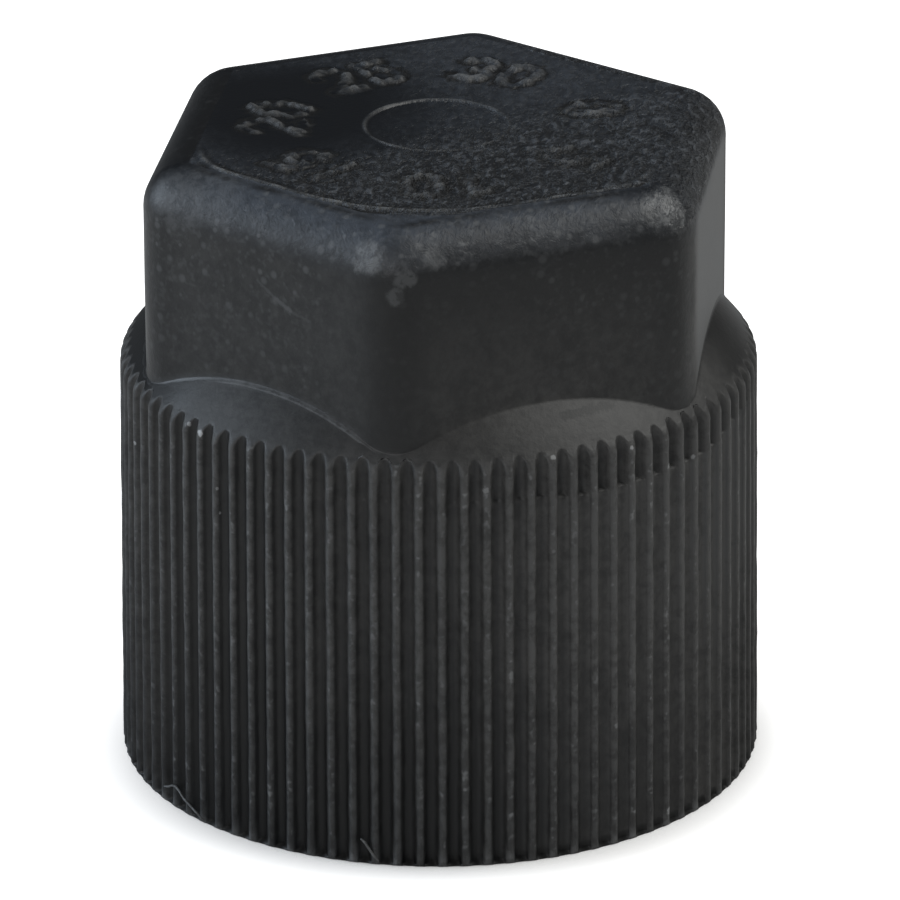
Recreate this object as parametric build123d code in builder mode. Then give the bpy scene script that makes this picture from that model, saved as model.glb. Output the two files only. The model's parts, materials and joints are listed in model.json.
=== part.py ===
from build123d import *
from math import cos, radians, sin, tan
import os

# Threaded protection cap, moulded in one piece: a ribbed grip skirt around a blind threaded
# bore, a sloping shoulder, and a hexagon head with a hollow inside it.
# The origin is the centre of the open rim and +Z points to the closed head.
# Millimetres and degrees. Radii are measured from the axis unless a name says otherwise.

# Grip skirt
rim_radius = 10.0              # over the ribs, at the open rim
skirt_height = 13.0            # open rim to the shoulder, along a rib
skirt_draft = 0.6              # the ribs lean inwards towards the head

# Grooves between the ribs
rib_count = 90
rib_phase = 2.7                # first rib, from the normal of the flat on +X
groove_depth = 0.28            # at the open rim
groove_draft = 0.4             # the groove floors lean in less, so the grooves get shallower
groove_floor_width = 0.28
groove_flank_angle = 20.0      # each flank, from the groove's middle plane
split_height = 11.8            # mould split: above it the grooves are cut a little deeper
split_extra_depth = 0.06

# Shoulder between the skirt and the head
shoulder_angle = 45.5
shoulder_bulge = 0.07
shoulder_overlap = 0.15        # the slope carries on this far under the hexagon flats

# Hexagon head, made for a 17 mm spanner
across_flats = 16.9
head_top = 20.35               # overall height of the cap
head_corner_radius = 1.65      # own radius of the upright corners
head_edge_radius = 1.4         # own radius of the rounded top edge

# Round mark in the middle of the head
mark_radius = 2.22
mark_offset = (-0.04, 0.1)
mark_line_width = 0.12
mark_line_height = 0.06
mark_dish_depth = 0.04

# Inside: the bore for an M16 x 1.5 thread, its flat seat, and the hollow in the head
thread_diameter = 16.0
thread_pitch = 1.5
seat_depth = 11.5              # open rim to the seat
mouth_clearance = 0.25         # the lead-in opens this far past the thread's outside
mouth_angle = 45.0
head_wall = 2.15               # beside the flats
top_wall = 2.3
hollow_end_radius = 1.2        # own radius of the fillet at the hollow's end

overrun = 0.2                  # how far a cutter starts outside the solid

# An ISO internal thread stands in from its outside by 5/8 of the sharp vee's height
thread_height = 5 / 8 * thread_pitch * cos(radians(30))

shoulder_edge = rim_radius - skirt_height * tan(radians(skirt_draft))
shoulder_foot = across_flats / 2 - shoulder_overlap
shoulder_top = skirt_height + (shoulder_edge - shoulder_foot) * tan(radians(shoulder_angle))
bore_radius = thread_diameter / 2 - thread_height
mouth_radius = thread_diameter / 2 + mouth_clearance
mouth_depth = (mouth_radius - bore_radius) * tan(radians(mouth_angle))
hollow_radius = across_flats / 2 - head_wall
hollow_top = head_top - top_wall


def groove_cutter(bottom, top, extra_depth):
    """Trapezoid bar that cuts one groove on +X between two heights, leaning in with its floor."""
    lean = radians(groove_draft)
    floor = rim_radius - groove_depth - extra_depth - bottom * tan(lean)
    reach = rim_radius + overrun - floor
    half_floor = groove_floor_width / 2 - extra_depth * tan(radians(groove_flank_angle))
    half_mouth = half_floor + reach * tan(radians(groove_flank_angle))
    start = Plane(
        origin=(floor, 0, bottom),
        x_dir=(cos(lean), 0, sin(lean)),
        z_dir=(-sin(lean), 0, cos(lean)),
    )
    with BuildPart() as cutter:
        with BuildSketch(start):
            with BuildLine():
                Polyline(
                    (0, -half_floor),
                    (reach, -half_mouth),
                    (reach, half_mouth),
                    (0, half_floor),
                    close=True,
                )
            make_face()
        extrude(amount=top - bottom)
    return cutter.part


lower_groove = groove_cutter(-overrun, split_height, 0)
upper_groove = groove_cutter(split_height, skirt_height + 2 * groove_depth, split_extra_depth)

with BuildPart() as cap:
    # Skirt and its slightly convex shoulder
    with BuildSketch(Plane.XZ):
        with BuildLine():
            Polyline(
                (shoulder_foot, shoulder_top),
                (0, shoulder_top),
                (0, 0),
                (rim_radius, 0),
                (shoulder_edge, skirt_height),
            )
            SagittaArc(
                (shoulder_edge, skirt_height),
                (shoulder_foot, shoulder_top),
                -shoulder_bulge,
            )
        make_face()
    revolve(axis=Axis.Z)

    # Hexagon head, rooted in the skirt, with rounded corners and a rounded top edge
    with BuildSketch(Plane.XY.offset(skirt_height)):
        hexagon = RegularPolygon(across_flats / 2, 6, major_radius=False, rotation=30)
        fillet(hexagon.vertices(), head_corner_radius)
    extrude(amount=head_top - skirt_height)
    fillet(cap.faces().sort_by(Axis.Z)[-1].edges(), head_edge_radius)

    # Round mark: a fine raised line around a shallow dish
    with BuildSketch(Plane.XY.offset(head_top)):
        with Locations(mark_offset):
            Circle(mark_radius + mark_line_width / 2)
            Circle(mark_radius - mark_line_width / 2, mode=Mode.SUBTRACT)
    extrude(amount=mark_line_height)
    with BuildSketch(Plane.XY.offset(head_top)):
        with Locations(mark_offset):
            Circle(mark_radius - mark_line_width / 2)
    extrude(amount=-mark_dish_depth, mode=Mode.SUBTRACT)

    # Lead-in, threaded bore, seat and hollow
    with BuildSketch(Plane.XZ) as inside:
        with BuildLine():
            Polyline(
                (0, 0),
                (mouth_radius, 0),
                (bore_radius, mouth_depth),
                (bore_radius, seat_depth),
                (hollow_radius, seat_depth),
                (hollow_radius, hollow_top),
                (0, hollow_top),
                close=True,
            )
        make_face()
        hollow_end = inside.vertices().group_by(Axis.Y)[-1].sort_by(Axis.X)[-1]
        fillet(hollow_end, hollow_end_radius)
    revolve(axis=Axis.Z, mode=Mode.SUBTRACT)

    # Grooves, each halfway between two ribs
    with PolarLocations(0, rib_count, start_angle=rib_phase + 180 / rib_count):
        add(lower_groove, mode=Mode.SUBTRACT)
        add(upper_groove, mode=Mode.SUBTRACT)

cap.part.label = "cap"
os.makedirs("parts", exist_ok=True)
export_step(cap.part, "parts/cap.step")
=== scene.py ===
import json
from math import ceil, cos, pi, radians, sin, tan

import bmesh
import bpy
import numpy as np
from bpy.props import FloatProperty, FloatVectorProperty, IntProperty, PointerProperty
from mathutils import Matrix, Vector, noise


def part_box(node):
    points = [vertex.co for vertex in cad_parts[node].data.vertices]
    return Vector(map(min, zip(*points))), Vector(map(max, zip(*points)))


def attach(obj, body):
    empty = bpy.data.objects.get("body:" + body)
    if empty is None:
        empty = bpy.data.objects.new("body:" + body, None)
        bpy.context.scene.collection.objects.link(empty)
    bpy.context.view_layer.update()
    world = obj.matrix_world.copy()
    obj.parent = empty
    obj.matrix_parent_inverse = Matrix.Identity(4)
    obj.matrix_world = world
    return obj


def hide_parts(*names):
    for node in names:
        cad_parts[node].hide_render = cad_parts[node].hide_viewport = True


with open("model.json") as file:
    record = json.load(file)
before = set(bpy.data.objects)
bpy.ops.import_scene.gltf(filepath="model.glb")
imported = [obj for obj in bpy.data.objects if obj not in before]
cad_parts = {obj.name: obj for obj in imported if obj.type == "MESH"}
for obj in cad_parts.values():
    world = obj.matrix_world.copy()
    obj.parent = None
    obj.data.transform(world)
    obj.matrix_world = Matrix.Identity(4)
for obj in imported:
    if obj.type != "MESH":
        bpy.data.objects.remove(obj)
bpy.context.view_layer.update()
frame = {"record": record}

bl_info = {
    "name": "Threaded protection cap",
    "version": (1, 0, 0),
    "blender": (4, 5, 0),
    "location": "3D View > Sidebar > Protection cap",
    "description": "Builds the moulded cap around its CAD frame, with its finish, stage and camera",
    "category": "Object",
}

MM = 0.001
CAP_NODE = "cap"

# The dressed cap takes the height of its top from the solid that it stands for
CAD_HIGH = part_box(CAP_NODE)[1]
MARK_LINE = 0.06        # the round mark's line on the solid, in millimetres
THREAD_MOUNT = next(m for m in frame["record"]["mounts"] if m["name"] == "thread")

# Columns of points around the skin. A rib and its groove share twelve of them
RIB_COLUMNS = 12
HEAD_SHARE = 2          # skirt columns to one column of the head
MARK_SHARE = 2          # head columns to one column of the round mark
UNDERSIDE_SHARE = 3     # each step from the rim towards the bore
BORE_COLUMNS_FROM_RIM = UNDERSIDE_SHARE * UNDERSIDE_SHARE
RIB_ROWS = 28           # rows of points up the ribs, to the mould split
CLOSE = 0.0001 * MM     # heights this close are the same


# ---------------------------------------------------------------- settings


def size(name, millimetres, description):
    """A length that the user can change."""
    return FloatProperty(
        name=name, description=description, default=millimetres * MM, unit="LENGTH", precision=5
    )


def angle(name, turn, description):
    """An angle that the user can change."""
    return FloatProperty(name=name, description=description, default=radians(turn), unit="ROTATION")


def share(name, value, description):
    """A share from 0 to 1 that the user can change."""
    return FloatProperty(
        name=name, description=description, default=value, min=0.0, max=1.0, subtype="FACTOR"
    )


def colour(name, value, description):
    """A linear colour that the user can change."""
    return FloatVectorProperty(
        name=name, description=description, default=value, min=0.0, max=1.0, subtype="COLOR"
    )


class SkirtSettings(bpy.types.PropertyGroup):
    """Sizes of the grip skirt, its grooves and its shoulder."""

    rim_radius: size("Rim radius", 10.0, "Over the ribs, at the open rim")
    height: size("Height", 13.0, "Open rim to the shoulder, along a rib")
    draft: angle("Draft", 0.6, "Inward lean of the ribs")
    rib_count: IntProperty(name="Ribs", description="Ribs around the skirt", default=90, min=6)
    rib_phase: angle("First rib", 2.7, "Angle of the first rib from +X")
    groove_depth: size("Groove depth", 0.28, "At the open rim")
    groove_draft: angle("Groove draft", 0.4, "Inward lean of the groove floors")
    groove_floor: size("Groove floor", 0.28, "Width of a groove's floor")
    flank_angle: angle("Flank angle", 20.0, "Lean of each groove flank")
    crest_round: size("Crest round", 0.15, "Rounding of a rib's edges")
    floor_round: size("Floor round", 0.165, "Rounding of a groove's corners")
    split_height: size("Split height", 11.8, "Grooves are deeper above this height")
    split_rise: size("Split rise", 0.4, "How far the split climbs on the side at +X")
    split_depth: size("Split depth", 0.06, "Extra groove depth above the split")
    shallowing: size("Shallowing", 0.1, "Groove depth lost below the split on the side at +X")
    shoulder_angle: angle("Shoulder angle", 45.5, "Slope of the shoulder")
    shoulder_foot: size("Shoulder foot", 8.3, "Radius where the slope ends under the head")
    shoulder_bulge: size("Shoulder bulge", 0.07, "How far the slope stands out from straight")
    waviness: size("Waviness", 0.022, "Unevenness of the moulded ribs")
    rim_flash: size("Rim flash", 0.05, "Thickness of the skin that closes the grooves at the rim")


class HeadSettings(bpy.types.PropertyGroup):
    """Sizes of the hexagon head and the relief on its top."""

    across_flats: size("Across flats", 16.9, "Spanner size of the hexagon")
    top: size("Top", CAD_HIGH.z / MM - MARK_LINE, "Height of the top face above the rim")
    corner_round: size("Corner round", 1.65, "Radius of the upright corners")
    edge_round: size("Edge round", 1.4, "Radius of the top edge")
    mark_radius: size("Mark radius", 2.22, "Round mark in the middle")
    mark_x: size("Mark X", -0.04, "Middle of the round mark")
    mark_y: size("Mark Y", 0.1, "Middle of the round mark")
    mark_height: size("Mark height", 0.05, "Height of the round mark's line")
    mark_dish: size("Mark dish", 0.04, "Depth inside the round mark")
    numeral_radius: size("Numeral radius", 5.0, "Middle of the ring of numerals")
    numeral_height: size("Numeral height", 1.75, "Height of a numeral")
    numeral_stroke: size("Numeral stroke", 0.13, "Half the width of a stroke")
    numeral_relief: size("Numeral relief", 0.13, "How far the numerals stand up")
    numeral_phase: angle("First numeral", 25.0, "Angle of the first numeral from +X")
    witness_height: size("Witness height", 0.06, "Fine line inside the rounded edge")


class BoreSettings(bpy.types.PropertyGroup):
    """Sizes of the threaded bore and the hollow above it."""

    crest_radius: size("Crest radius", THREAD_MOUNT["dims"]["r_mm"], "Inside of the thread")
    diameter: size("Diameter", 16.0, "Outside of the thread")
    pitch: size("Pitch", 1.5, "Rise of one turn of the thread")
    run_out: size("Run-out", 1.2, "Height over which the thread fades at its end")
    seat_depth: size("Seat depth", 11.5, "Open rim to the seat")
    mouth_radius: size("Mouth radius", 8.25, "Lead-in at the open rim")
    hollow_radius: size("Hollow radius", 6.3, "Hollow inside the head")
    hollow_top: size("Hollow top", 18.05, "Height of the hollow's end")
    hollow_round: size("Hollow round", 1.2, "Radius at the hollow's end")


class FinishSettings(bpy.types.PropertyGroup):
    """Colours and wear of the black moulding."""

    plastic: colour("Plastic", (0.0065, 0.0068, 0.0074), "Clean black plastic")
    faded: colour("Faded", (0.053, 0.0525, 0.0515), "Dulled and handled plastic")
    # The top's two colours carry a painted blue cast of the light
    plastic_head_blue_cast: colour("Plastic of the top", (0.005, 0.0064, 0.0088), "Clean plastic of the top")
    faded_head_blue_cast: colour("Faded top", (0.041, 0.0485, 0.061), "Dulled plastic of the head's top")
    # Painted shade: this near black is painted where shade falls, in corners, recesses, the grooves
    # at the rim and around the top's relief
    painted_shade_colour: colour("Soot", (0.001, 0.001, 0.001), "Grime caked in corners")
    bare: colour("Bare", (0.15, 0.155, 0.16), "Rubbed corners, nicks and dust")
    chipped: colour("Chipped", (0.4, 0.41, 0.42), "Fresh chips of the ribs")
    roughness: share("Roughness", 0.34, "Roughness of clean plastic")
    handled_roughness: share("Handled roughness", 0.55, "Roughness of handled plastic")
    scuffing: share("Scuffing", 0.62, "Strength of the scuffed texture")
    nicks: share("Nicks", 0.6, "Amount of nicks and flecks")


class StageSettings(bpy.types.PropertyGroup):
    """The floor, the soft lights and the camera."""

    azimuth: angle("Azimuth", 8.345, "Camera's turn around the cap")
    elevation: angle("Elevation", 23.01, "Camera's height above the horizon")
    distance: size("Distance", 253.05, "Camera to the middle of the cap")
    aim_height: size("Aim height", 10.0, "Height of the point that the camera faces")
    lens: FloatProperty(
        name="Lens", description="Focal length", default=325.27, subtype="DISTANCE_CAMERA"
    )
    roll: angle("Roll", -0.277, "Camera's roll")
    shift_x: FloatProperty(name="Shift X", description="Sideways shift", default=0.01224)
    shift_y: FloatProperty(name="Shift Y", description="Upright shift", default=-0.01417)
    floor_colour: colour("Floor", (0.6, 0.6, 0.6), "Pale floor")
    floor_glow: FloatProperty(name="Floor glow", description="For the camera alone", default=1.0)
    world_level: FloatProperty(name="World level", description="Light all round", default=0.05)


SETTINGS = {
    "cap_skirt": SkirtSettings,
    "cap_head": HeadSettings,
    "cap_bore": BoreSettings,
    "cap_finish": FinishSettings,
    "cap_stage": StageSettings,
}


# ---------------------------------------------------------------- skin of rings


class Skin:
    """A skin made ring by ring around the axis. Each ring is joined to the one before it."""

    MASKS = ("handled", "flecked", "edge", "scuffed", "relief", "grime")

    def __init__(self):
        self.points = []
        self.masks = {name: [] for name in self.MASKS}
        self.faces = []
        self.ring = []

    def add_points(self, points, **masks):
        """Stores points, with a value from 0 to 1 for each mask, and returns their numbers."""
        first = len(self.points)
        self.points.extend(points)
        for name, stored in self.masks.items():
            stored.extend(np.broadcast_to(masks.get(name, 0.0), len(points)))
        return list(range(first, len(self.points)))

    def add_ring(self, points, **masks):
        """Adds a ring of points and joins it to the last one."""
        ring = self.add_points(points, **masks)
        if self.ring:
            self.join(self.ring, ring)
        self.ring = ring

    def join(self, first, second):
        """Quads between equal rings, or fans where one has a multiple of the other's points."""
        growing = len(second) > len(first)
        fine, coarse = (second, first) if growing else (first, second)
        step = len(fine) // len(coarse)
        for i, near in enumerate(coarse):
            far = coarse[(i + 1) % len(coarse)]
            edge = [fine[(i * step + k) % len(fine)] for k in range(step + 1)]
            if step == 1:
                faces = [(edge[0], edge[1], far, near)]
            else:
                middle = (step + 1) // 2
                faces = [(edge[k], edge[k + 1], near) for k in range(middle)]
                faces.append((edge[middle], far, near))
                faces += [(edge[k], edge[k + 1], far) for k in range(middle, step)]
            self.faces.extend(face[::-1] for face in faces) if growing else self.faces.extend(faces)

    def close(self, point, **masks):
        """Closes the last ring with a fan to one point."""
        centre = self.add_points([point], **masks)[0]
        for i, near in enumerate(self.ring):
            self.faces.append((near, self.ring[(i + 1) % len(self.ring)], centre))
        self.ring = []

    def open_from(self, point, ring_points, **masks):
        """Starts the skin with a fan from one point to its first ring."""
        centre = self.add_points([point], **masks)[0]
        self.ring = self.add_points(ring_points, **masks)
        for i, near in enumerate(self.ring):
            self.faces.append((centre, self.ring[(i + 1) % len(self.ring)], near))

    def make_object(self, name):
        """The finished mesh as an object, smooth shaded, with its masks as attributes."""
        mesh = bpy.data.meshes.new(name)
        mesh.from_pydata([tuple(p) for p in self.points], [], self.faces)
        for mask, stored in self.masks.items():
            attribute = mesh.attributes.new(mask, "FLOAT", "POINT")
            attribute.data.foreach_set("value", np.array(stored, np.float32))
        skin = bmesh.new()
        skin.from_mesh(mesh)
        bmesh.ops.recalc_face_normals(skin, faces=skin.faces)
        skin.to_mesh(mesh)
        skin.free()
        mesh.shade_smooth()
        obj = bpy.data.objects.new(name, mesh)
        bpy.context.scene.collection.objects.link(obj)
        return obj


def around(angles, radii, heights, centre=(0.0, 0.0)):
    """Points at angles around an upright axis."""
    angles, radii, heights = np.broadcast_arrays(angles, radii, heights)
    return np.stack(
        [centre[0] + radii * np.cos(angles), centre[1] + radii * np.sin(angles), heights], axis=1
    )


def smooth_step(low, high, values):
    """0 below low, 1 above high, and an even curve between."""
    t = np.clip((values - low) / (high - low), 0.0, 1.0)
    return t * t * (3.0 - 2.0 * t)


def bell(distances, width):
    """1 at a distance of 0 and falling evenly to both sides."""
    return np.exp(-((distances / width) ** 2))


def angles_from(angles, middle):
    """Signed angle from a direction given in degrees."""
    return (angles - radians(middle) + pi) % (2 * pi) - pi


def near(angles, middle, reach):
    """1 around a direction in degrees and 0 past its reach, with a smooth fall between."""
    away = np.abs(angles_from(angles, middle))
    return 1 - smooth_step(0.6 * radians(reach), radians(reach), away)


def turned_past(angles, low, high):
    """0 to 1 as the direction turns from low to high, in degrees from -180 to 180."""
    return smooth_step(radians(low), radians(high), angles_from(angles, 0))


def uneven(points, grain):
    """Smooth noise from -1 to 1 at each point. grain is the size of its bumps."""
    return np.array([noise.noise(Vector(p) / grain) for p in points])


# ---------------------------------------------------------------- form of the cap


class CapForm:
    """The cap's outline as functions of angle and height, worked out from the settings."""

    def __init__(self, skirt, head, bore):
        self.skirt, self.head, self.bore = skirt, head, bore
        self.period = 2 * pi / skirt.rib_count
        self.start = skirt.rib_phase - self.period / 2
        self.columns = skirt.rib_count * RIB_COLUMNS
        self.edge_radius = self.crest_radius(skirt.height)
        self.slope_run = self.edge_radius - skirt.shoulder_foot

    def angles(self, count):
        """Evenly spread column angles, starting in the middle of a groove."""
        return self.start + np.arange(count) * 2 * pi / count

    def crest_radius(self, height):
        """Radius over the ribs."""
        return self.skirt.rim_radius - height * tan(self.skirt.draft)

    def shallow_side(self, angles):
        """1 on the side of the skirt where the mould leaves shallower grooves below its split."""
        return turned_past(angles, -80, -50) * (1 - turned_past(angles, 90, 130))

    def split_line(self, angles):
        """Height of the mould split, which climbs a little in front and more on the side at +X."""
        climb = turned_past(angles, -26, -12) * (1 - turned_past(angles, 60, 100))
        climb = climb + 0.35 * near(angles, -80, 25)
        return self.skirt.split_height + self.skirt.split_rise * climb

    def rib_ring(self, height, deepening=0.0):
        """Angles and radii of one ring of ribs and grooves, and how far each point is up a rib.

        height may differ from point to point. deepening goes from 0 to 1 at the mould split.
        """
        s = self.skirt
        height = np.broadcast_to(height, self.columns)
        crest = self.crest_radius(height)
        side = self.shallow_side(self.angles(self.columns))
        extra = deepening * s.split_depth * (0.3 + 0.7 * side)
        filled = (1 - deepening) * s.shallowing * side
        floor = s.rim_radius - s.groove_depth - height * tan(s.groove_draft) - extra + filled
        half_floor = s.groove_floor / 2 + (filled - extra) * tan(s.flank_angle)
        half_mouth = half_floor + (crest - floor) * tan(s.flank_angle)
        lean = (sin(s.flank_angle), cos(s.flank_angle))
        bend = (pi / 2 - s.flank_angle) / 2
        flank = (crest - floor) / cos(s.flank_angle)
        fit = np.minimum(1.0, 0.95 * flank / ((s.floor_round + s.crest_round) * tan(bend)))
        floor_cut = fit * s.floor_round * tan(bend)
        crest_cut = fit * s.crest_round * tan(bend)
        crest_gap = fit * s.crest_round * (1 / cos(bend) - 1)
        floor_gap = fit * s.floor_round * (1 / cos(bend) - 1)
        # From the middle of a groove to the middle of a rib: sideways place, radius, share of rise
        half = [
            (0.0, floor, 0.0),
            (half_floor - floor_gap * cos(bend), floor + floor_gap * sin(bend), 0.1),
            (half_floor + floor_cut * lean[0], floor + floor_cut * lean[1], 0.3),
            (half_mouth - crest_cut * lean[0], crest - crest_cut * lean[1], 0.75),
            (half_mouth + crest_gap * cos(bend), crest - crest_gap * sin(bend), 0.9),
            (half_mouth + crest_cut, crest, 0.97),
            (self.period / 2 * crest, crest, 1.0),
        ]
        rib, place = np.divmod(np.arange(self.columns), RIB_COLUMNS)
        pick = np.minimum(place, RIB_COLUMNS - place)
        sideways, radius, rise = (
            np.choose(pick, [np.broadcast_to(row[k], self.columns) for row in half])
            for k in range(3)
        )
        mirrored = place > RIB_COLUMNS // 2
        turn = np.where(mirrored, self.period - sideways / radius, sideways / radius)
        return self.start + rib * self.period + turn, radius, rise

    def slope_height(self, radius):
        """Height of the shoulder's slightly convex slope."""
        s = self.skirt
        run = self.edge_radius - radius
        across = run / self.slope_run
        bulge = 4 * s.shoulder_bulge / cos(s.shoulder_angle) * across * (1 - across)
        return s.height + run * tan(s.shoulder_angle) + bulge

    def hexagon(self, angles, inset=0.0, corner=None):
        """Radius of the rounded hexagon, moved in by an inset."""
        flat = self.head.across_flats / 2 - inset
        if corner is None:
            corner = self.head.corner_round - inset
        turn = np.abs((angles + pi / 6) % (pi / 3) - pi / 6)
        corner_middle = (flat - corner) / cos(pi / 6)
        from_corner = pi / 6 - turn
        on_flat = flat / np.cos(turn)
        inside = np.maximum(corner**2 - (corner_middle * np.sin(from_corner)) ** 2, 0.0)
        on_corner = corner_middle * np.cos(from_corner) + np.sqrt(inside)
        return np.where(flat * np.tan(turn) <= (flat - corner) * tan(pi / 6), on_flat, on_corner)


# ---------------------------------------------------------------- inside of the cap


def add_hollow(skin, form):
    """The hollow in the head, from its flat end down to the seat."""
    b = form.bore
    angles = form.angles(form.columns // BORE_COLUMNS_FROM_RIM)
    flat = b.hollow_radius - b.hollow_round
    skin.open_from((0.0, 0.0, b.hollow_top), around(angles, flat / 2, b.hollow_top))
    for turn in np.linspace(0.0, pi / 2, 7):
        radius = flat + b.hollow_round * sin(turn)
        skin.add_ring(around(angles, radius, b.hollow_top - b.hollow_round * (1 - cos(turn))))
    edge = 0.08 * MM
    straight = b.hollow_top - b.hollow_round - b.seat_depth
    for radius, above_seat in (
        (b.hollow_radius, 0.65 * straight),
        (b.hollow_radius, 0.3 * straight),
        (b.hollow_radius, edge),
        (b.hollow_radius + edge, 0.0),
        (b.crest_radius - edge, 0.0),
        (b.crest_radius, -edge),
    ):
        skin.add_ring(around(angles, radius, b.seat_depth + above_seat))


def thread_profile():
    """One pitch of the internal thread: (share of the pitch, share of the depth) pairs."""
    crest, root = 1 / 4, 1 / 8
    root_start = crest + (1 - crest - root) / 2
    soft = 0.03
    return [
        (0.0, 0.06),
        (soft, 0.0),
        (crest - soft, 0.0),
        (crest, 0.06),
        (root_start, 0.94),
        (root_start + soft, 1.0),
        (root_start + root - soft, 1.0),
        (root_start + root, 0.94),
    ]


def add_thread(skin, form):
    """The thread's turns, as rows that climb with the helix between two flat rings."""
    b = form.bore
    count = form.columns // BORE_COLUMNS_FROM_RIM
    angles = form.angles(count)
    profile = thread_profile()
    depth = b.diameter / 2 - b.crest_radius
    bottom = b.mouth_radius - b.diameter / 2
    top = b.seat_depth - b.pitch / 2
    turns = ceil((top - bottom) / b.pitch) + 1

    def radius_at(height, depth_share):
        fade = 1 - smooth_step(top - b.run_out, top, height)
        return np.maximum(b.crest_radius + depth * depth_share * fade, b.mouth_radius - height)

    upper = skin.add_points(around(angles, b.crest_radius, top))
    skin.join(skin.ring, upper)
    lower = skin.add_points(around(angles, b.diameter / 2, bottom))
    rows = []
    for turn in range(turns + 1):
        for pitch_share, depth_share in profile:
            climb = np.arange(count) / count + turn - 1 + pitch_share
            heights = bottom + b.pitch * climb
            inside = (heights > bottom + CLOSE) & (heights < top - CLOSE)
            points = around(angles, radius_at(heights, depth_share), heights)
            made = skin.add_points(points[inside])
            row = np.where(heights <= bottom + CLOSE, lower, upper)
            row[inside] = made
            rows.append(row)
    # Past the last column, a row goes on as the one that is a whole pitch higher
    for k in range(len(rows) - 1):
        for j in range(count):
            if j + 1 < count:
                far, column = k, j + 1
            elif k + 1 + len(profile) < len(rows):
                far, column = k + len(profile), 0
            else:
                continue
            corners = (rows[k + 1][j], rows[far + 1][column], rows[far][column], rows[k][j])
            corners = list(dict.fromkeys(int(c) for c in corners))
            if len(corners) > 2:
                skin.faces.append(tuple(corners))
    skin.ring = lower
    skin.add_ring(around(angles, b.mouth_radius - 0.05 * MM, 0.05 * MM))


def add_underside(skin, form):
    """The flat open rim, from the lead-in out to the ribs."""
    b, s = form.bore, form.skirt
    count = form.columns // BORE_COLUMNS_FROM_RIM
    wall = s.rim_radius - b.mouth_radius
    skin.add_ring(around(form.angles(count), b.mouth_radius + 0.03 * MM, 0.0))
    skin.add_ring(around(form.angles(count), b.mouth_radius + 0.35 * wall, 0.0))
    skin.add_ring(around(form.angles(count * UNDERSIDE_SHARE), b.mouth_radius + 0.6 * wall, 0.0))
    angles, radii, rise = form.rib_ring(s.rim_flash)
    tips = rib_tips(form, rise, 0.0)
    # Between the ribs the skin that closes the grooves is painted dark, as painted shade where the
    # groove ends meet the floor
    between_ribs = 1 - smooth_step(0.0, 0.6, rise)
    # The skin that closes the grooves stands back a little between the ribs
    inwards = 0.025 * MM * between_ribs
    edge = s.rim_radius - 0.03 * MM
    for radius, height in ((edge - 0.08 * MM, 0.0), (edge, 0.3), (edge, 0.9)):
        ring = around(angles, radius - inwards, height * s.rim_flash)
        skin.add_ring(ring, handled=0.3 * rise, relief=tips, grime=between_ribs)
    for height in (1.3 * s.rim_flash, 2.3 * s.rim_flash):
        ring = around(angles, radii, height)
        skin.add_ring(ring, handled=0.45 * smooth_step(0.7, 1.0, rise), relief=tips, grime=between_ribs)


# ---------------------------------------------------------------- outside of the cap

# Directions in degrees from +X. Two of the flats meet at the front
FRONT, RIGHT, LEFT = -90, 0, -180
FRONT_LEFT, FRONT_RIGHT, BACK_LEFT, BACK_RIGHT = -120, -60, 120, 60


def rib_masks(form, rise, height, deepening=0.0):
    """Wear of ribs and grooves, with painted light and shade. The skirt is painted darker towards
    the rim as painted shade, and the grooves near the rim darker still. At the far left and far
    right the grooves are painted lighter as painted sheen, and the flanks on the left are painted
    darker as painted shade.
    """
    angles = form.angles(form.columns)
    # Painted shade: everything on the skirt is painted darker towards the rim
    clean = 1 - 0.55 * (1 - smooth_step(0.0, 9 * MM, height))
    crest = smooth_step(0.7, 1.05, rise)
    flank = smooth_step(0.0, 0.15, rise)
    # At the far left and far right of the skirt the grooves are painted lighter, as painted sheen
    left_end = near(angles, LEFT + 5, 42)
    right_end = near(angles, RIGHT + 2, 42)
    shallow = form.shallow_side(angles)
    front = 0.1 + 0.13 * smooth_step(radians(-30), radians(40), angles_from(angles, -100))
    # The flanks on the left are painted darker, as painted shade
    flank_dust = (0.5 - 0.38 * near(angles, -150, 50)) * flank * clean
    groove_dust = front * clean**3 + 0.3 * shallow * (1 - 0.7 * deepening) * clean
    dust_and_painted_light = groove_dust + flank_dust + (0.75 - 0.5 * clean) * right_end + 0.45 * left_end
    rubbed = (1.06 + 0.08 * shallow - 0.35 * left_end) * clean**1.7 - 0.12 * right_end
    return {
        "handled": dust_and_painted_light * (1 - crest) + rubbed * crest,
        "flecked": 0.3 * crest,
        "edge": 0.7 * smooth_step(0.75, 1.0, rise) * (1 - 0.4 * left_end) * (1 - 0.5 * right_end),
        "relief": rib_tips(form, rise, height),
        # Painted shade in the grooves near the rim
        "grime": 1.4 * (1 - flank) * (1 - clean) * (1 - left_end) * (1 - shallow),
    }


def rib_tips(form, rise, height):
    """Ragged burrs, which catch the light, on the lowest ends of the ribs."""
    low = rise * (1 - smooth_step(0.08 * MM, 0.6 * MM, height))
    if np.max(low) == 0.0:
        return 0.0
    ends = around(form.angles(form.columns), form.skirt.rim_radius, 0.0)
    return low * np.clip(0.5 + 1.5 * uneven(ends, 0.6 * MM), 0.0, 1.0)


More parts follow.
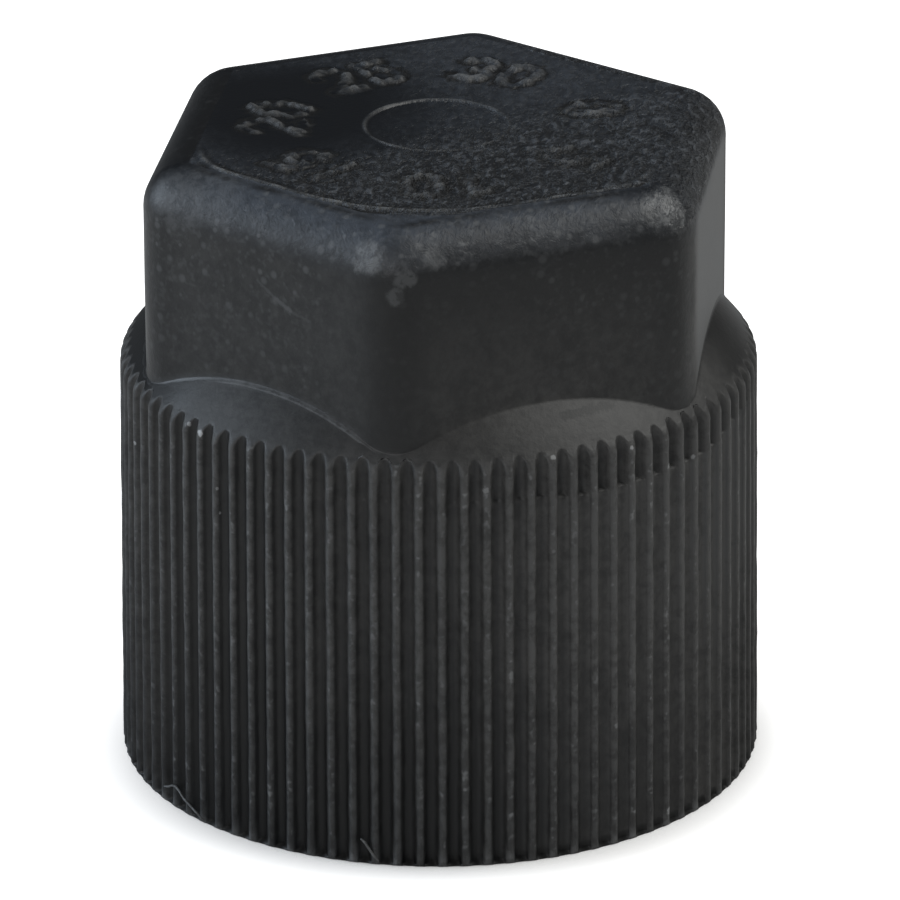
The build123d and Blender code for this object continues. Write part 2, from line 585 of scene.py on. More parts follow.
def add_ribs(skin, form):
    """The ribs and grooves, up to where they run out on the shoulder."""
    s = form.skirt
    # Rows of points below, across and above the split, each with its share of the extra depth
    split_line = form.split_line(form.angles(form.columns))
    lowest = 0.35 * MM
    up_to_split = split_line - 0.05 * MM - lowest
    lower = [(lowest + t * up_to_split, 0.0) for t in np.linspace(0.0, 1.0, RIB_ROWS)]
    split = [(split_line, 0.15), (split_line + 0.03 * MM, 0.85)]
    upper = [(split_line + 0.07 * MM, 1.0), (split_line + 0.45 * MM, 1.0)]
    for height, deepening in lower + split + upper:
        angles, radii, rise = form.rib_ring(height, deepening)
        points = around(angles, radii, height)
        radii = radii + s.waviness * uneven(points, 0.6 * MM) * (0.3 + 0.7 * rise)
        sway = s.waviness * uneven(points + 5 * MM, 0.5 * MM) / s.rim_radius
        points = around(angles + sway, radii, height)
        skin.add_ring(points, **rib_masks(form, rise, height, deepening))

    # Each column ends where it meets the slope, which gives the grooves their arched ends
    ends = np.full(form.columns, s.height)
    for _ in range(4):
        angles, radii, rise = form.rib_ring(ends, 1.0)
        ends = form.slope_height(radii)
    # The ribs are rounded over onto the slope. The grooves' ends are sharper
    soft = (0.04 + 0.16 * rise) * MM
    on_slope = radii - 0.7 * soft
    slope = form.slope_height(on_slope)
    masks = rib_masks(form, rise, ends, 1.0)
    for t in (0.0, 0.25, 0.5, 0.75, 1.0):
        inwards = radii + t**2 * (on_slope - radii)
        heights = (1 - t) ** 2 * (ends - soft) + 2 * t * (1 - t) * ends + t**2 * slope
        dulled = masks["handled"] * (1 - t) + 0.4 * t
        edges = masks["edge"] * (1 - t) + 0.3 * rise * t
        skin.add_ring(around(angles, inwards, heights), handled=dulled, edge=edges)
    return angles, on_slope


# Thin burrs that hang at the rim: angle, height in millimetres
RIM_STRANDS = (
    ((-140.6, 0.49), (-139.1, 0.58), (-137.6, 0.72), (-136.6, 0.75), (-135.6, 0.68), (-134.2, 0.51),
     (-132.6, 0.41), (-130.7, 0.27), (-128.8, 0.12)),
    ((-95.8, 0.85), (-95.0, 0.72), (-94.2, 0.5), (-93.4, 0.3), (-92.6, 0.14)),
)


def add_strands(skin, form):
    """Thin curled burrs left on the ribs at the rim, as closed tubes."""
    thickness = 0.042 * MM
    around_tube = np.arange(6) * pi / 3
    for strand in RIM_STRANDS:
        angles = radians(1) * np.array([turn for turn, _ in strand])
        heights = MM * np.array([height for _, height in strand])
        line = around(angles, form.crest_radius(heights) + 0.2 * thickness, heights)
        along = np.gradient(line, axis=0)
        along /= np.linalg.norm(along, axis=1)[:, None]
        outward = around(angles, 1.0, 0.0)
        across = np.cross(along, outward)
        for k, point in enumerate(line):
            swell = thickness * (0.6 if k in (0, len(line) - 1) else 1.0)
            ring = point + swell * (
                np.outer(np.cos(around_tube), outward[k]) + np.outer(np.sin(around_tube), across[k])
            )
            if k == 0:
                skin.open_from(point, ring, handled=1.0, relief=1.0)
            else:
                skin.add_ring(ring, handled=1.0, relief=1.0)
        skin.close(line[-1], handled=1.0, relief=1.0)


def add_shoulder(skin, form, rib_angles, rib_radii):
    """The slope from the ends of the ribs to the foot of the hexagon's flats."""
    angles = form.angles(form.columns // HEAD_SHARE)
    first_angles = rib_angles[::HEAD_SHARE]
    first_radii = rib_radii[::HEAD_SHARE]
    foot = form.hexagon(angles)
    run = first_radii - foot
    # A fine line of flash stands on the slope along one flat's foot
    flash = near(angles, FRONT_LEFT + 7, 22)
    margin = np.minimum(0.3 * MM, 0.34 * run)
    # On its left the slope is painted darker, and the far left darker still, as painted shade
    dulled = 0.42 - 0.22 * near(angles, RIGHT + 20, 40) - 0.5 * near(angles, LEFT + 10, 40)
    for t in (0.15, 0.35, 0.55, 0.75, 0.9):
        mixed = first_angles + (angles - first_angles) * min(1.3 * t, 1.0)
        radii = foot + margin + (run - margin) * (1 - t)
        shaded = near(mixed, LEFT + 5, 40)
        skin.add_ring(around(mixed, radii, form.slope_height(radii)), handled=dulled, grime=shaded)
    # Distance from the foot in millimetres, its limit as a share of the slope, rise of the flash
    for away, limit, lift in (
        (0.2, 0.26, 0.0), (0.115, 0.2, 0.0), (0.08, 0.14, 0.013), (0.045, 0.08, 0.011)
    ):
        radii = foot + np.minimum(away * MM, limit * run)
        heights = form.slope_height(radii) + lift * flash * MM
        skin.add_ring(around(angles, radii, heights), handled=dulled, relief=48 * lift * flash)
    fillet = np.minimum(0.04 * MM, 0.07 * run)
    corner = form.slope_height(foot)
    line = around(angles, foot + 0.3 * fillet, corner + 0.3 * fillet)
    skin.add_ring(line, handled=0.9 * dulled, relief=0.3 * flash)
    skin.add_ring(around(angles, foot, corner + fillet), handled=flat_wear_and_sheen(angles, 0.0))
    return angles, foot, corner + fillet


def flat_wear_and_sheen(angles, up):
    """How dulled the flats are, from their foot (0) to the rounded edge (1). The flat on the right
    is also painted much lighter, as painted sheen.
    """
    front_left = 0.34 * near(angles, FRONT_LEFT, 33)
    front_right = (0.46 - 0.44 * up) * near(angles, FRONT_RIGHT, 33)
    # Painted sheen: the flat on the right is painted much lighter
    right = 1.42 * near(angles, RIGHT, 33)
    behind = 0.3 * near(angles, BACK_LEFT, 97)
    corner = 1 - 0.25 * near(angles, FRONT, 8)
    return (front_left + front_right + right + behind) * corner


def add_flats(skin, form, angles, foot, bottom):
    """The upright flats and rounded corners of the hexagon, and its rounded top edge."""
    head = form.head
    top = head.top - head.edge_round
    flecked = 0.16 + 0.84 * near(angles, FRONT_LEFT - 10, 30)
    flecked = flecked + 0.3 * near(angles, FRONT_RIGHT + 18, 26)
    for t in (0.04, 0.18, 0.36, 0.54, 0.72, 0.88, 0.97):
        heights = bottom + (top - bottom) * t
        points = around(angles, foot, heights)
        dent = 0.01 * MM * uneven(points, 2.2 * MM)
        masks = {"handled": flat_wear_and_sheen(angles, t), "flecked": flecked * (0.35 + 0.65 * t)}
        skin.add_ring(around(angles, foot + dent, heights), **masks)
    front = near(angles, FRONT, 68)
    right = near(angles, RIGHT, 33)
    back = (1 - front) * (1 - right)
    side_wear_and_sheen = flat_wear_and_sheen(angles, 1.0)
    rubbed = (0.63 - 0.19 * near(angles, FRONT_RIGHT, 40)) * front + 0.22 * right
    rubbed = rubbed + back * (0.08 + 0.16 * near(angles, BACK_RIGHT, 60))
    # Painted shade: the rounded edge on the left is painted darker
    painted_left_shade = 0.7 * near(angles, LEFT, 34)
    for turn in np.linspace(0.0, pi / 2, 11):
        inset = head.edge_round * (1 - cos(turn))
        radii = form.hexagon(angles, inset)
        height = top + head.edge_round * sin(turn)
        start = float(smooth_step(0.1, 0.34, turn))
        end = 1 + 0.6 * float(smooth_step(0.5, 1.2, turn)) * front
        points = around(angles, radii, height)
        broken = np.clip(0.6 + uneven(points, 0.8 * MM), 0, 1)
        skin.add_ring(
            points,
            handled=side_wear_and_sheen * (1 - start) + rubbed * start * end,
            flecked=flecked * (1 - start) + (0.2 + 0.8 * front) * start,
            scuffed=start * (0.06 * front + 0.75 * near(angles, RIGHT + 25, 64)),
            # Painted shadow along a broken line near the top of the edge in front, and the left
            # edge's painted shade
            grime=0.8 * bell(turn - 1.41, 0.09) * front * broken + start * painted_left_shade,
        )


def bow(middle_x, middle_y, radius_x, radius_y, start, end):
    """Part of an oval, as a line of points for a numeral's stroke."""
    return [
        (middle_x + radius_x * cos(radians(a)), middle_y + radius_y * sin(radians(a)))
        for a in np.linspace(start, end, 10)
    ]


# Strokes of the numerals, in a box 0.62 wide and 1 high
NUMERAL_WIDTH = 0.62
NUMERAL_STROKES = {
    "0": bow(0.31, 0.5, 0.29, 0.5, 0, 360),
    "1": [(0.1, 0.78), (0.36, 1.0), (0.36, 0.0)],
    "2": bow(0.31, 0.7, 0.29, 0.3, 170, -35) + [(0.02, 0.0), (0.62, 0.0)],
    "3": bow(0.29, 0.75, 0.27, 0.25, 150, -80) + bow(0.29, 0.27, 0.31, 0.27, 80, -150),
    "5": [(0.56, 1.0), (0.1, 1.0), (0.06, 0.56)] + bow(0.28, 0.33, 0.32, 0.33, 130, -150),
}
DIAL = ("0", "5", "10", "15", "20", "25", "30")


def numeral_segments(head):
    """Straight pieces of every numeral's strokes, laid around the dial: an array of end pairs."""
    segments = []
    width = NUMERAL_WIDTH * head.numeral_height
    gap = 0.24 * head.numeral_height
    for place, number in enumerate(DIAL):
        middle = head.numeral_phase - place * 2 * pi / len(DIAL)
        outward = np.array([cos(middle), sin(middle)])
        along = np.array([sin(middle), -cos(middle)])
        total = len(number) * width + (len(number) - 1) * gap
        for k, digit in enumerate(number):
            left = k * (width + gap) - total / 2
            line = [
                outward * (head.numeral_radius + (y - 0.5) * head.numeral_height)
                + along * (left + x * head.numeral_height)
                for x, y in NUMERAL_STROKES[digit]
            ]
            segments += list(zip(line[:-1], line[1:]))
    return np.array(segments)


def distance_to_segments(points, segments):
    """Distance from each flat point to the nearest segment."""
    nearest = np.full(len(points), 1.0)
    for start, end in segments:
        along = end - start
        t = np.clip((points - start) @ along / (along @ along), 0.0, 1.0)
        gap = points - start - t[:, None] * along
        nearest = np.minimum(nearest, np.hypot(gap[:, 0], gap[:, 1]))
    return nearest


def add_top(skin, form):
    """The top face: worn numerals in relief, a fine line inside its edge and the round mark."""
    head = form.head
    # Rings from the edge inwards, close together where there is relief
    outer = head.across_flats / 2 - head.edge_round
    edge_insets = np.arange(0.05, 0.65, 0.05) * MM
    numeral_insets = np.arange(0.68, 3.2, 0.08) * MM
    mark_insets = np.linspace(3.4, 4.3, 4) * MM
    segments = numeral_segments(head)
    mark_middle = np.array([head.mark_x, head.mark_y])
    count = form.columns // HEAD_SHARE
    blend_start, blend_end = 2.6 * MM, outer - head.mark_radius - 0.25 * MM

    for inset in np.concatenate([edge_insets, numeral_insets, mark_insets]):
        if inset >= mark_insets[0]:
            count = form.columns // HEAD_SHARE // MARK_SHARE
        angles = form.angles(count)
        roundness = float(smooth_step(0.0, blend_end, inset))
        start_corner = head.corner_round - head.edge_round
        flat = outer - inset
        corner = start_corner + (flat - start_corner) * min(roundness, 0.98)
        radii = form.hexagon(angles, head.edge_round + inset, corner)
        shift = float(smooth_step(blend_start, blend_end, inset))
        points = around(angles, radii, head.top, mark_middle * shift)
        lift, masks = top_relief(form, points, segments)
        points[:, 2] += lift
        skin.add_ring(points, **masks)

    # The round mark's line: distance from its middle in millimetres and share of its height
    angles = form.angles(count)
    for offset, lift in (
        (0.12, 0.0), (0.07, 0.2), (0.04, 0.8), (0.0, 1.0), (-0.04, 0.8), (-0.07, 0.2), (-0.12, 0.0)
    ):
        dish = head.mark_dish if offset < 0 else 0.0
        radius = head.mark_radius + offset * MM
        points = around(angles, radius, head.top - dish * (1 - lift), mark_middle)
        broken = 0.65 + 0.5 * uneven(points, 0.7 * MM)
        broken = np.clip(broken, 0.4, 1.0) * (1 - 0.4 * near(angles, RIGHT + 5, 50))
        points[:, 2] += head.mark_height * lift * broken
        skin.add_ring(points, relief=0.8 * lift * broken, **top_wear(points))
    for radius_share in (0.85, 0.6, 0.3):
        radius = head.mark_radius * radius_share
        if radius_share < 0.5:
            angles = angles[::3]
        points = around(angles, radius, head.top - head.mark_dish, mark_middle)
        skin.add_ring(points, **top_wear(points))
    centre = np.array([[mark_middle[0], mark_middle[1], head.top - head.mark_dish]])
    skin.close(centre[0], **top_wear(centre))


def top_wear(points):
    """Wear of the top face: smooth and dark on its left, dulled and scuffed elsewhere."""
    smooth_x, smooth_y = -4.6 * MM, 0.8 * MM
    away = np.hypot(points[:, 0] - smooth_x, points[:, 1] - smooth_y)
    away = away + 0.7 * MM * uneven(points, 1.6 * MM)
    worn = smooth_step(2.4 * MM, 5.2 * MM, away)
    front = smooth_step(-1.0 * MM, 6.0 * MM, points[:, 0] - 1.2 * points[:, 1])
    back_right = smooth_step(0.0, 7.0 * MM, points[:, 0] + points[:, 1])
    return {
        "handled": (0.26 - 0.2 * front) * worn + 0.18 * back_right,
        "flecked": 0.3 * worn,
        "scuffed": worn * (0.18 + 0.82 * front),
    }


HALO_DEPTH = 0.03 * MM          # how deep the face sinks close around a numeral


def top_relief(form, points, segments):
    """Height above the top face, and masks, of each point. Parts of the numerals are worn away."""
    head = form.head
    flat_points = points[:, :2]
    remains = 0.4 + 1.0 * uneven(points, 0.75 * MM) + 0.9 * uneven(points, 0.26 * MM)
    remains = np.clip(remains, 0.0, 1.0)
    ragged = 0.16 * MM * uneven(points, 0.3 * MM) + 0.08 * MM * uneven(points, 0.14 * MM)
    gap = distance_to_segments(flat_points, segments) + ragged
    rise = 1 - smooth_step(head.numeral_stroke * 0.6, head.numeral_stroke * 1.8, gap)
    halo = 1 - smooth_step(head.numeral_stroke * 1.6, head.numeral_stroke * 3.2, gap)
    numerals = head.numeral_relief * rise * remains - HALO_DEPTH * halo * (1 - rise)

    # A fine broken line runs inside the rounded edge. Past it the face already slopes like the edge
    angles = np.arctan2(points[:, 1], points[:, 0])
    in_front = near(angles, FRONT, 78)
    corner = (2.6 + 3.4 * near(angles, FRONT, 45)) * MM
    line = form.hexagon(angles, head.edge_round + 0.12 * MM, corner)
    off_line = np.hypot(points[:, 0], points[:, 1]) - line
    breaks = np.clip(0.65 + 0.9 * uneven(points, 0.7 * MM), 0.15, 1.0)
    witness = bell(off_line, 0.08 * MM) * in_front * breaks
    outside = bell(off_line - 0.24 * MM, 0.09 * MM) * np.clip(1.1 - breaks, 0.0, 1.0)
    inside = bell(off_line + 0.2 * MM, 0.08 * MM) * breaks
    lift = numerals + head.witness_height * (witness - 0.8 * in_front * (outside + 0.5 * inside))
    past = smooth_step(0.05 * MM, 0.4 * MM, off_line) * in_front
    masks = top_wear(points)
    masks["handled"] = masks["handled"] * (1 - past) + 0.8 * past
    masks["flecked"] = masks["flecked"] * (1 - past) + 0.5 * past
    masks["scuffed"] = masks["scuffed"] * (1 - 0.9 * past) * (1 - 0.6 * rise * remains)
    masks["relief"] = np.maximum(rise * remains, 1.6 * witness)
    # Close around the numerals and beside the line in front, the face is darkened as painted
    # shadow, over its slight real sinking
    beside_line = in_front * np.maximum(1.6 * outside, 0.9 * inside)
    masks["grime"] = np.maximum(halo * (1 - rise), beside_line)
    return lift - 0.12 * np.maximum(off_line, 0.0) * in_front, masks


# ---------------------------------------------------------------- finish


class Value:
    """What a shader node puts out. Arithmetic with it adds Math nodes to its tree."""

    def __init__(self, socket):
        self.socket = socket
        self.tree = socket.id_data

    def maths(self, operation, other=0.0, clamp=False):
        """Outcome of one Math node."""
        values = {0: self, 1: other}
        node = add_node(self.tree, "ShaderNodeMath", values, operation=operation, use_clamp=clamp)
        return Value(node.outputs[0])

    def __add__(self, other):
        return self.maths("ADD", other)

    def __sub__(self, other):
        return self.maths("SUBTRACT", other)

    def __mul__(self, other):
        return self.maths("MULTIPLY", other)

    def __truediv__(self, other):
        return self.maths("DIVIDE", other)

    def vector_maths(self, operation, other):
        """Outcome of one Vector Math node. A vector is scaled by its own input."""
        values = {0: self, "Scale" if operation == "SCALE" else 1: other}
        node = add_node(self.tree, "ShaderNodeVectorMath", values, operation=operation)
        plain = operation in ("DOT_PRODUCT", "DISTANCE")
        return Value(node.outputs["Value" if plain else "Vector"])

    def ramp(self, low, high, to_low=0.0, to_high=1.0):
        """The value mapped from one range to another, smoothly and held at both ends."""
        ends = {"From Min": low, "From Max": high, "To Min": to_low, "To Max": to_high}
        node = add_node(
            self.tree,
            "ShaderNodeMapRange",
            {"Value": self, **ends},
            interpolation_type="SMOOTHSTEP",
        )
        return Value(node.outputs["Result"])


def add_node(tree, kind, values=None, **settings):
    """A shader node with its settings and inputs, each a plain number or colour or a Value."""
    node = tree.nodes.new(kind)
    for name, value in settings.items():
        setattr(node, name, value)
    for key, value in (values or {}).items():
        if isinstance(value, Value):
            tree.links.new(value.socket, node.inputs[key])
        else:
            node.inputs[key].default_value = value
    return node


def strongest(*masks):
    """The highest of several masks."""
    top = masks[0]
    for mask in masks[1:]:
        top = top.maths("MAXIMUM", mask)
    return top


def mix_colour(factor, first, second):
    """A mix of two colours. The Mix node's sockets 6 and 7 and its output 2 are its colours."""
    values = {0: factor, 6: first, 7: second}
    return Value(add_node(factor.tree, "ShaderNodeMix", values, data_type="RGBA").outputs[2])


def rgba(value):
    """Linear colour with full alpha."""
    return (*value, 1.0)


def noise_at(place, scale, detail, roughness, distortion=0.0):
    """Noise from 0 to 1. Scale is in bumps per millimetre."""
    values = {
        "Vector": place,
        "Scale": scale,
        "Detail": detail,
        "Roughness": roughness,
        "Distortion": distortion,
    }
    return Value(add_node(place.tree, "ShaderNodeTexNoise", values).outputs["Fac"])


def start_group(name, **inputs):
    """A shader node group and its inputs by name. An input with no default is a vector."""
    group = bpy.data.node_groups.new(name, "ShaderNodeTree")
    for label, default in inputs.items():
        kind = "NodeSocketVector" if default is None else "NodeSocketFloat"
        socket = group.interface.new_socket(label, in_out="INPUT", socket_type=kind)
        if default is not None:
            socket.default_value = default
    given = group.nodes.new("NodeGroupInput").outputs
    return group, {label: Value(given[label]) for label in inputs}


def end_group(group, **results):
    """The finished group, with a socket for each thing that it puts out."""
    for label in results:
        group.interface.new_socket(label, in_out="OUTPUT", socket_type="NodeSocketFloat")
    end = group.nodes.new("NodeGroupOutput").inputs
    for label, value in results.items():
        group.links.new(value.socket, end[label])
    return group


def use_group(group, place, **values):
    """What a group puts out at a place in the plastic, by name."""
    node = add_node(place.tree, "ShaderNodeGroup", {"Vector": place, **values}, node_tree=group)
    return {output.name: Value(output) for output in node.outputs}


# Each group below takes a place in millimetres as its Vector


def build_grain_group():
    """Fine matte grain of the mould, with slow and quick changes of tone."""
    group, given = start_group("moulded_grain", Vector=None, Fineness=9.0)
    place = given["Vector"]
    return end_group(
        group,
        Height=noise_at(place, given["Fineness"], 4.0, 0.65),
        Tone=noise_at(place, 0.55, 4.0, 0.6, 0.6).ramp(0.32, 0.68),
        Mottle=noise_at(place, 2.6, 5.0, 0.7, 0.3).ramp(0.34, 0.66),
    )


def build_flecks_group():
    """Small ragged flecks, gathered in loose drifts."""
    group, given = start_group("worn_flecks", Vector=None, Fineness=4.0, Amount=0.5)
    flecks = noise_at(given["Vector"], given["Fineness"], 1.0, 0.5)
    drifts = noise_at(given["Vector"], 0.8, 3.0, 0.6)
    level = flecks + (drifts - 0.5) * 0.4 + given["Amount"]
    return end_group(group, Mask=level.ramp(1.06, 1.32))


def build_specks_group():
    """Round soft specks of mixed sizes, gathered in loose drifts."""
    group, given = start_group("round_specks", Vector=None, Fineness=3.0)
    values = {"Vector": given["Vector"], "Scale": given["Fineness"]}
    cells = add_node(group, "ShaderNodeTexVoronoi", values).outputs
    split = add_node(group, "ShaderNodeSeparateXYZ", {0: Value(cells["Color"])}).outputs
    drifts = noise_at(given["Vector"], 0.9, 2.0, 0.5)
    chance = Value(split["X"]) + (drifts - 0.5)
    reach = chance.ramp(0.25, 1.05, 0.0, 0.5)
    speck = Value(cells["Distance"]).ramp(reach * 0.35, reach + 0.02, 1.0, 0.0)
    return end_group(group, Mask=speck * reach.ramp(0.0, 0.3))


def build_scratch_group():
    """Fine straight scratch from a start, along a way."""
    group, given = start_group(
        "fine_scratch", Vector=None, Ragged=0.5, Start=None, Along=None, Width=0.1, Strength=0.5
    )
    along = given["Along"]
    reach = given["Vector"].vector_maths("SUBTRACT", given["Start"])
    covered = reach.vector_maths("DOT_PRODUCT", along)
    whole = along.vector_maths("DOT_PRODUCT", along)
    part = covered.maths("DIVIDE", whole, clamp=True)
    apart = reach.vector_maths("DISTANCE", along.vector_maths("SCALE", part))
    apart = apart / given["Width"] + given["Ragged"]
    return end_group(group, Mask=apart.ramp(0.8, 1.7, 1.0, 0.0) * given["Strength"])


def build_patch_group():
    """Ragged rubbed patch around a point."""
    group, given = start_group(
        "rubbed_patch", Vector=None, Ragged=0.5, Middle=None, Radius=1.0, Strength=1.0
    )
    apart = given["Vector"].vector_maths("DISTANCE", given["Middle"])
    reach = apart / given["Radius"] + given["Ragged"]
    return end_group(group, Mask=reach.ramp(1.15, 1.65, 1.0, 0.0) * given["Strength"])


def build_scuffs_group():
    """Short crooked scuffs in every direction, as on leather, with pits between them."""
    group, given = start_group("crooked_scuffs", Vector=None, Fineness=2.6)
    place = given["Vector"]
    crumple = noise_at(place, given["Fineness"], 3.0, 0.6, 1.0)
    lines = (crumple - 0.5).maths("ABSOLUTE").ramp(0.015, 0.07, 1.0, 0.0)
    lines = lines * noise_at(place, 2.5, 2.0, 0.5).ramp(0.4, 0.54)
    pits = noise_at(place, 2.7, 3.0, 0.6, 0.5).ramp(0.38, 0.5, 1.0, 0.0)
    blots = noise_at(place, 3.7, 1.0, 0.5)
    lines = strongest(lines * 0.6, blots.ramp(0.54, 0.68))
    pits = strongest(pits, blots.ramp(0.33, 0.45, 1.0, 0.0))
    return end_group(group, Lines=lines, Pits=pits, Height=crumple + lines * 0.8 - pits * 0.5)


# Rubbed patches of the head, which are also painted highlights on its corners, in millimetres
PATCH_VALUES = ("Middle", "Radius", "Strength")
RUBBED_PATCHES_AND_HIGHLIGHTS = (
    ((-0.8, -9.1, 19.6), 0.72, 0.6),
    ((0.1, -9.5, 18.5), 0.35, 0.28),
    ((0.4, -9.4, 19.1), 0.4, 0.3),
    ((1.2, -8.9, 19.6), 0.45, 0.35),
    ((-7.1, -5.35, 19.75), 1.4, 0.23),
    ((-6.1, -5.7, 19.95), 1.3, 0.16),
    ((7.6, -4.8, 19.9), 0.95, 0.64),
)

# Single bright nicks on the ribs, in the same way
RIB_NICKS = (
    ((-6.6, -7.2, 13.1), 0.1, 0.5),
    ((-6.2, -7.65, 13.0), 0.13, 0.9),
    ((-5.6, -8.1, 11.4), 0.07, 0.35),
    ((-5.5, -8.1, 10.6), 0.07, 0.5),
    ((-8.8, -4.5, 11.2), 0.08, 0.6),
    ((2.8, -9.45, 12.4), 0.12, 0.3),
    ((4.7, -8.5, 13.2), 0.1, 0.4),
    ((6.9, -7.0, 13.0), 0.1, 0.5),
    ((7.9, -5.9, 12.0), 0.1, 0.4),
    ((8.5, -4.9, 11.9), 0.09, 0.4),
    ((8.0, -6.0, 0.5), 0.15, 0.4),
)

# Scratches of the head, in millimetres
SCRATCH_VALUES = ("Start", "Along", "Width", "Strength")
SCRATCHES = (
    ((-4.44, -7.19, 17.9), (0.6, -0.35, -0.41), 0.08, 0.16),
    ((-3.84, -7.54, 17.49), (0.5, -0.29, -0.28), 0.13, 0.3),
    ((-3.34, -7.83, 17.21), (0.66, -0.39, -0.16), 0.08, 0.12),
    ((0.95, -8.98, 19.75), (0.12, 0.0, -0.3), 0.09, 0.35),
    ((1.35, -8.8, 19.7), (0.16, 0.05, -0.25), 0.09, 0.35),
    ((1.8, -8.4, 19.88), (0.3, 0.2, -0.06), 0.08, 0.3),
)

# A dirty smear on the slope of the shoulder, in the same way
SMEARS = (
    ((4.9, -7.4, 14.1), (1.3, 0.95, 0.05), 0.2, 0.7),
)

# Depths of the bumps in the surface, in millimetres
GRAIN_DEPTH = 0.01
SCUFF_DEPTH = 0.18
LUMP_DEPTH = 0.05

# Heights between which the colours turn to those of the top, which carry a painted blue cast of the
# light, in millimetres
TOP_FINISH_START = 18.5
TOP_FINISH_END = 20.3


def marks_from(group, place, ragged, names, marks):
    """The strongest mask of a group used once for each mark, with ragged edges."""
    masks = [use_group(group, place, Ragged=ragged, **dict(zip(names, mark))) for mark in marks]
    return strongest(*[mask["Mask"] for mask in masks])


def build_plastic(finish):
    """Black moulded plastic: matte grain, dulled handled areas, rubbed corners and nicks, with
    painted shade, painted highlights on the corners and a painted blue cast on the top.
    """
    material = bpy.data.materials.new("black_moulded_plastic")
    material.use_nodes = True
    tree = material.node_tree
    shader = tree.nodes["Principled BSDF"]
    place = Value(tree.nodes.new("ShaderNodeTexCoord").outputs["Object"])
    place = place.vector_maths("SCALE", 1 / MM)
    handled, flecked, edge, scuffed, relief, grime = [
        Value(add_node(tree, "ShaderNodeAttribute", attribute_name=name).outputs["Fac"])
        for name in Skin.MASKS
    ]

    grain = use_group(build_grain_group(), place, Fineness=7.0)
    tone, mottle = grain["Tone"], grain["Mottle"]
    flecks_group = build_flecks_group()
    fine_flecks = use_group(flecks_group, place, Fineness=4.6, Amount=0.56)["Mask"]
    nicks = use_group(flecks_group, place, Fineness=5.0, Amount=0.53)["Mask"]
    specks = use_group(build_specks_group(), place, Fineness=2.6)["Mask"]
    drawn_out = place.vector_maths("MULTIPLY", (1.25, 0.6, 1.0))
    scuffs = use_group(build_scuffs_group(), drawn_out, Fineness=2.5)

    ragged = noise_at(place, 2.2, 4.0, 0.7, 0.4) * 1.3
    torn = noise_at(place, 9.0, 2.0, 0.6) * 1.3
    patch_group = build_patch_group()
    rubbed_patches_and_highlights = marks_from(patch_group, place, ragged, PATCH_VALUES, RUBBED_PATCHES_AND_HIGHLIGHTS)
    single_nicks = marks_from(patch_group, place, torn, PATCH_VALUES, RIB_NICKS)
    scratch_group = build_scratch_group()
    scratches = marks_from(scratch_group, place, torn, SCRATCH_VALUES, SCRATCHES)
    smears = marks_from(scratch_group, place, torn, SCRATCH_VALUES, SMEARS)

    # Dulling follows the handled mask, broken up by slow and quick changes of tone
    patchy = tone * 0.3 + mottle * 0.7 + 0.48
    marks = scuffs["Lines"] * scuffed * finish.scuffing
    dulled = (handled * patchy).maths("ADD", marks * 1.4, clamp=True)
    # Painted shade, together with the scuffs' pits and the dirty smears, takes the dulling away
    dark = strongest(grime * 0.6, scuffs["Pits"] * scuffed * 0.4, smears)
    dulled = dulled.maths("SUBTRACT", dark, clamp=True)
    height = Value(add_node(tree, "ShaderNodeSeparateXYZ", {0: place}).outputs["Z"])
    on_top = height.ramp(TOP_FINISH_START, TOP_FINISH_END)
    # On the top the colours carry a painted blue cast of the light
    faded = mix_colour(on_top, rgba(finish.faded), rgba(finish.faded_head_blue_cast))
    clean = mix_colour(on_top, rgba(finish.plastic), rgba(finish.plastic_head_blue_cast))
    body = mix_colour(dulled, clean, faded)
    # Painted shade: the colour turns near black where the painted shade mask is strong
    body = mix_colour(grime.maths("MULTIPLY", 0.8, clamp=True), body, rgba(finish.painted_shade_colour))

    # Bare plastic shows where something rubbed or nicked it, the rubbed patches on the corners are
    # also painted highlights, and raised marks catch the light
    soft_flecks = strongest(fine_flecks * 0.5, specks) * flecked * 0.5
    bare = strongest(
        strongest(nicks * edge, soft_flecks) * finish.nicks,
        rubbed_patches_and_highlights * mottle.ramp(0.1, 0.8, 0.4, 1.05),
        scratches,
        handled.maths("SUBTRACT", 1.0, clamp=True),
        edge * mottle.ramp(0.2, 0.9, 0.05, 0.24),
        relief * mottle.ramp(0.1, 0.7, 0.25, 0.6),
        marks * 0.35,
    )
    body = mix_colour(bare, body, rgba(finish.bare))
    chips = strongest(nicks * nicks * edge * (tone * 0.3), single_nicks)
    body = mix_colour(chips, body, rgba(finish.chipped))
    tree.links.new(body.socket, shader.inputs["Base Color"])

    worn = strongest(handled, scuffed, relief, grime)
    rough = worn.ramp(0.0, 0.6, finish.roughness, finish.handled_roughness)
    rough = rough.maths("ADD", grime.ramp(0.85, 1.0, 0.0, 0.3), clamp=True)
    tree.links.new(rough.socket, shader.inputs["Roughness"])
    shader.inputs["Specular IOR Level"].default_value = 0.4

    lumps = noise_at(place, 3.2, 3.0, 0.6) * strongest(edge, relief)
    surface = grain["Height"] * GRAIN_DEPTH + scuffs["Height"] * scuffed * SCUFF_DEPTH
    surface = surface + lumps * LUMP_DEPTH
    bump = add_node(tree, "ShaderNodeBump", {"Height": surface, "Strength": 1.0, "Distance": MM})
    tree.links.new(bump.outputs["Normal"], shader.inputs["Normal"])
    return material


# ---------------------------------------------------------------- stage

WHITE = (1.0, 1.0, 1.0)
FLOOR_REACH = 1.5               # metres from the cap to the floor's edges
SHADOW_REACH = 2.0 * MM         # how near the cap the floor's glow fades
LIGHT_SIZE = 0.32               # metres
LIGHT_DISTANCE = 0.5            # metres from the aim

# Soft lights: azimuth from -Y, turning right, and elevation in degrees, power in watts and tint
SOFT_LIGHTS = {
    "left_light": (-88, 21, 1.58, (0.77, 0.88, 1.0)),
    "right_light": (100, 50, 1.85, (1.0, 1.0, 0.97)),
    "front_light": (-18, 24, 0.85, WHITE),
}


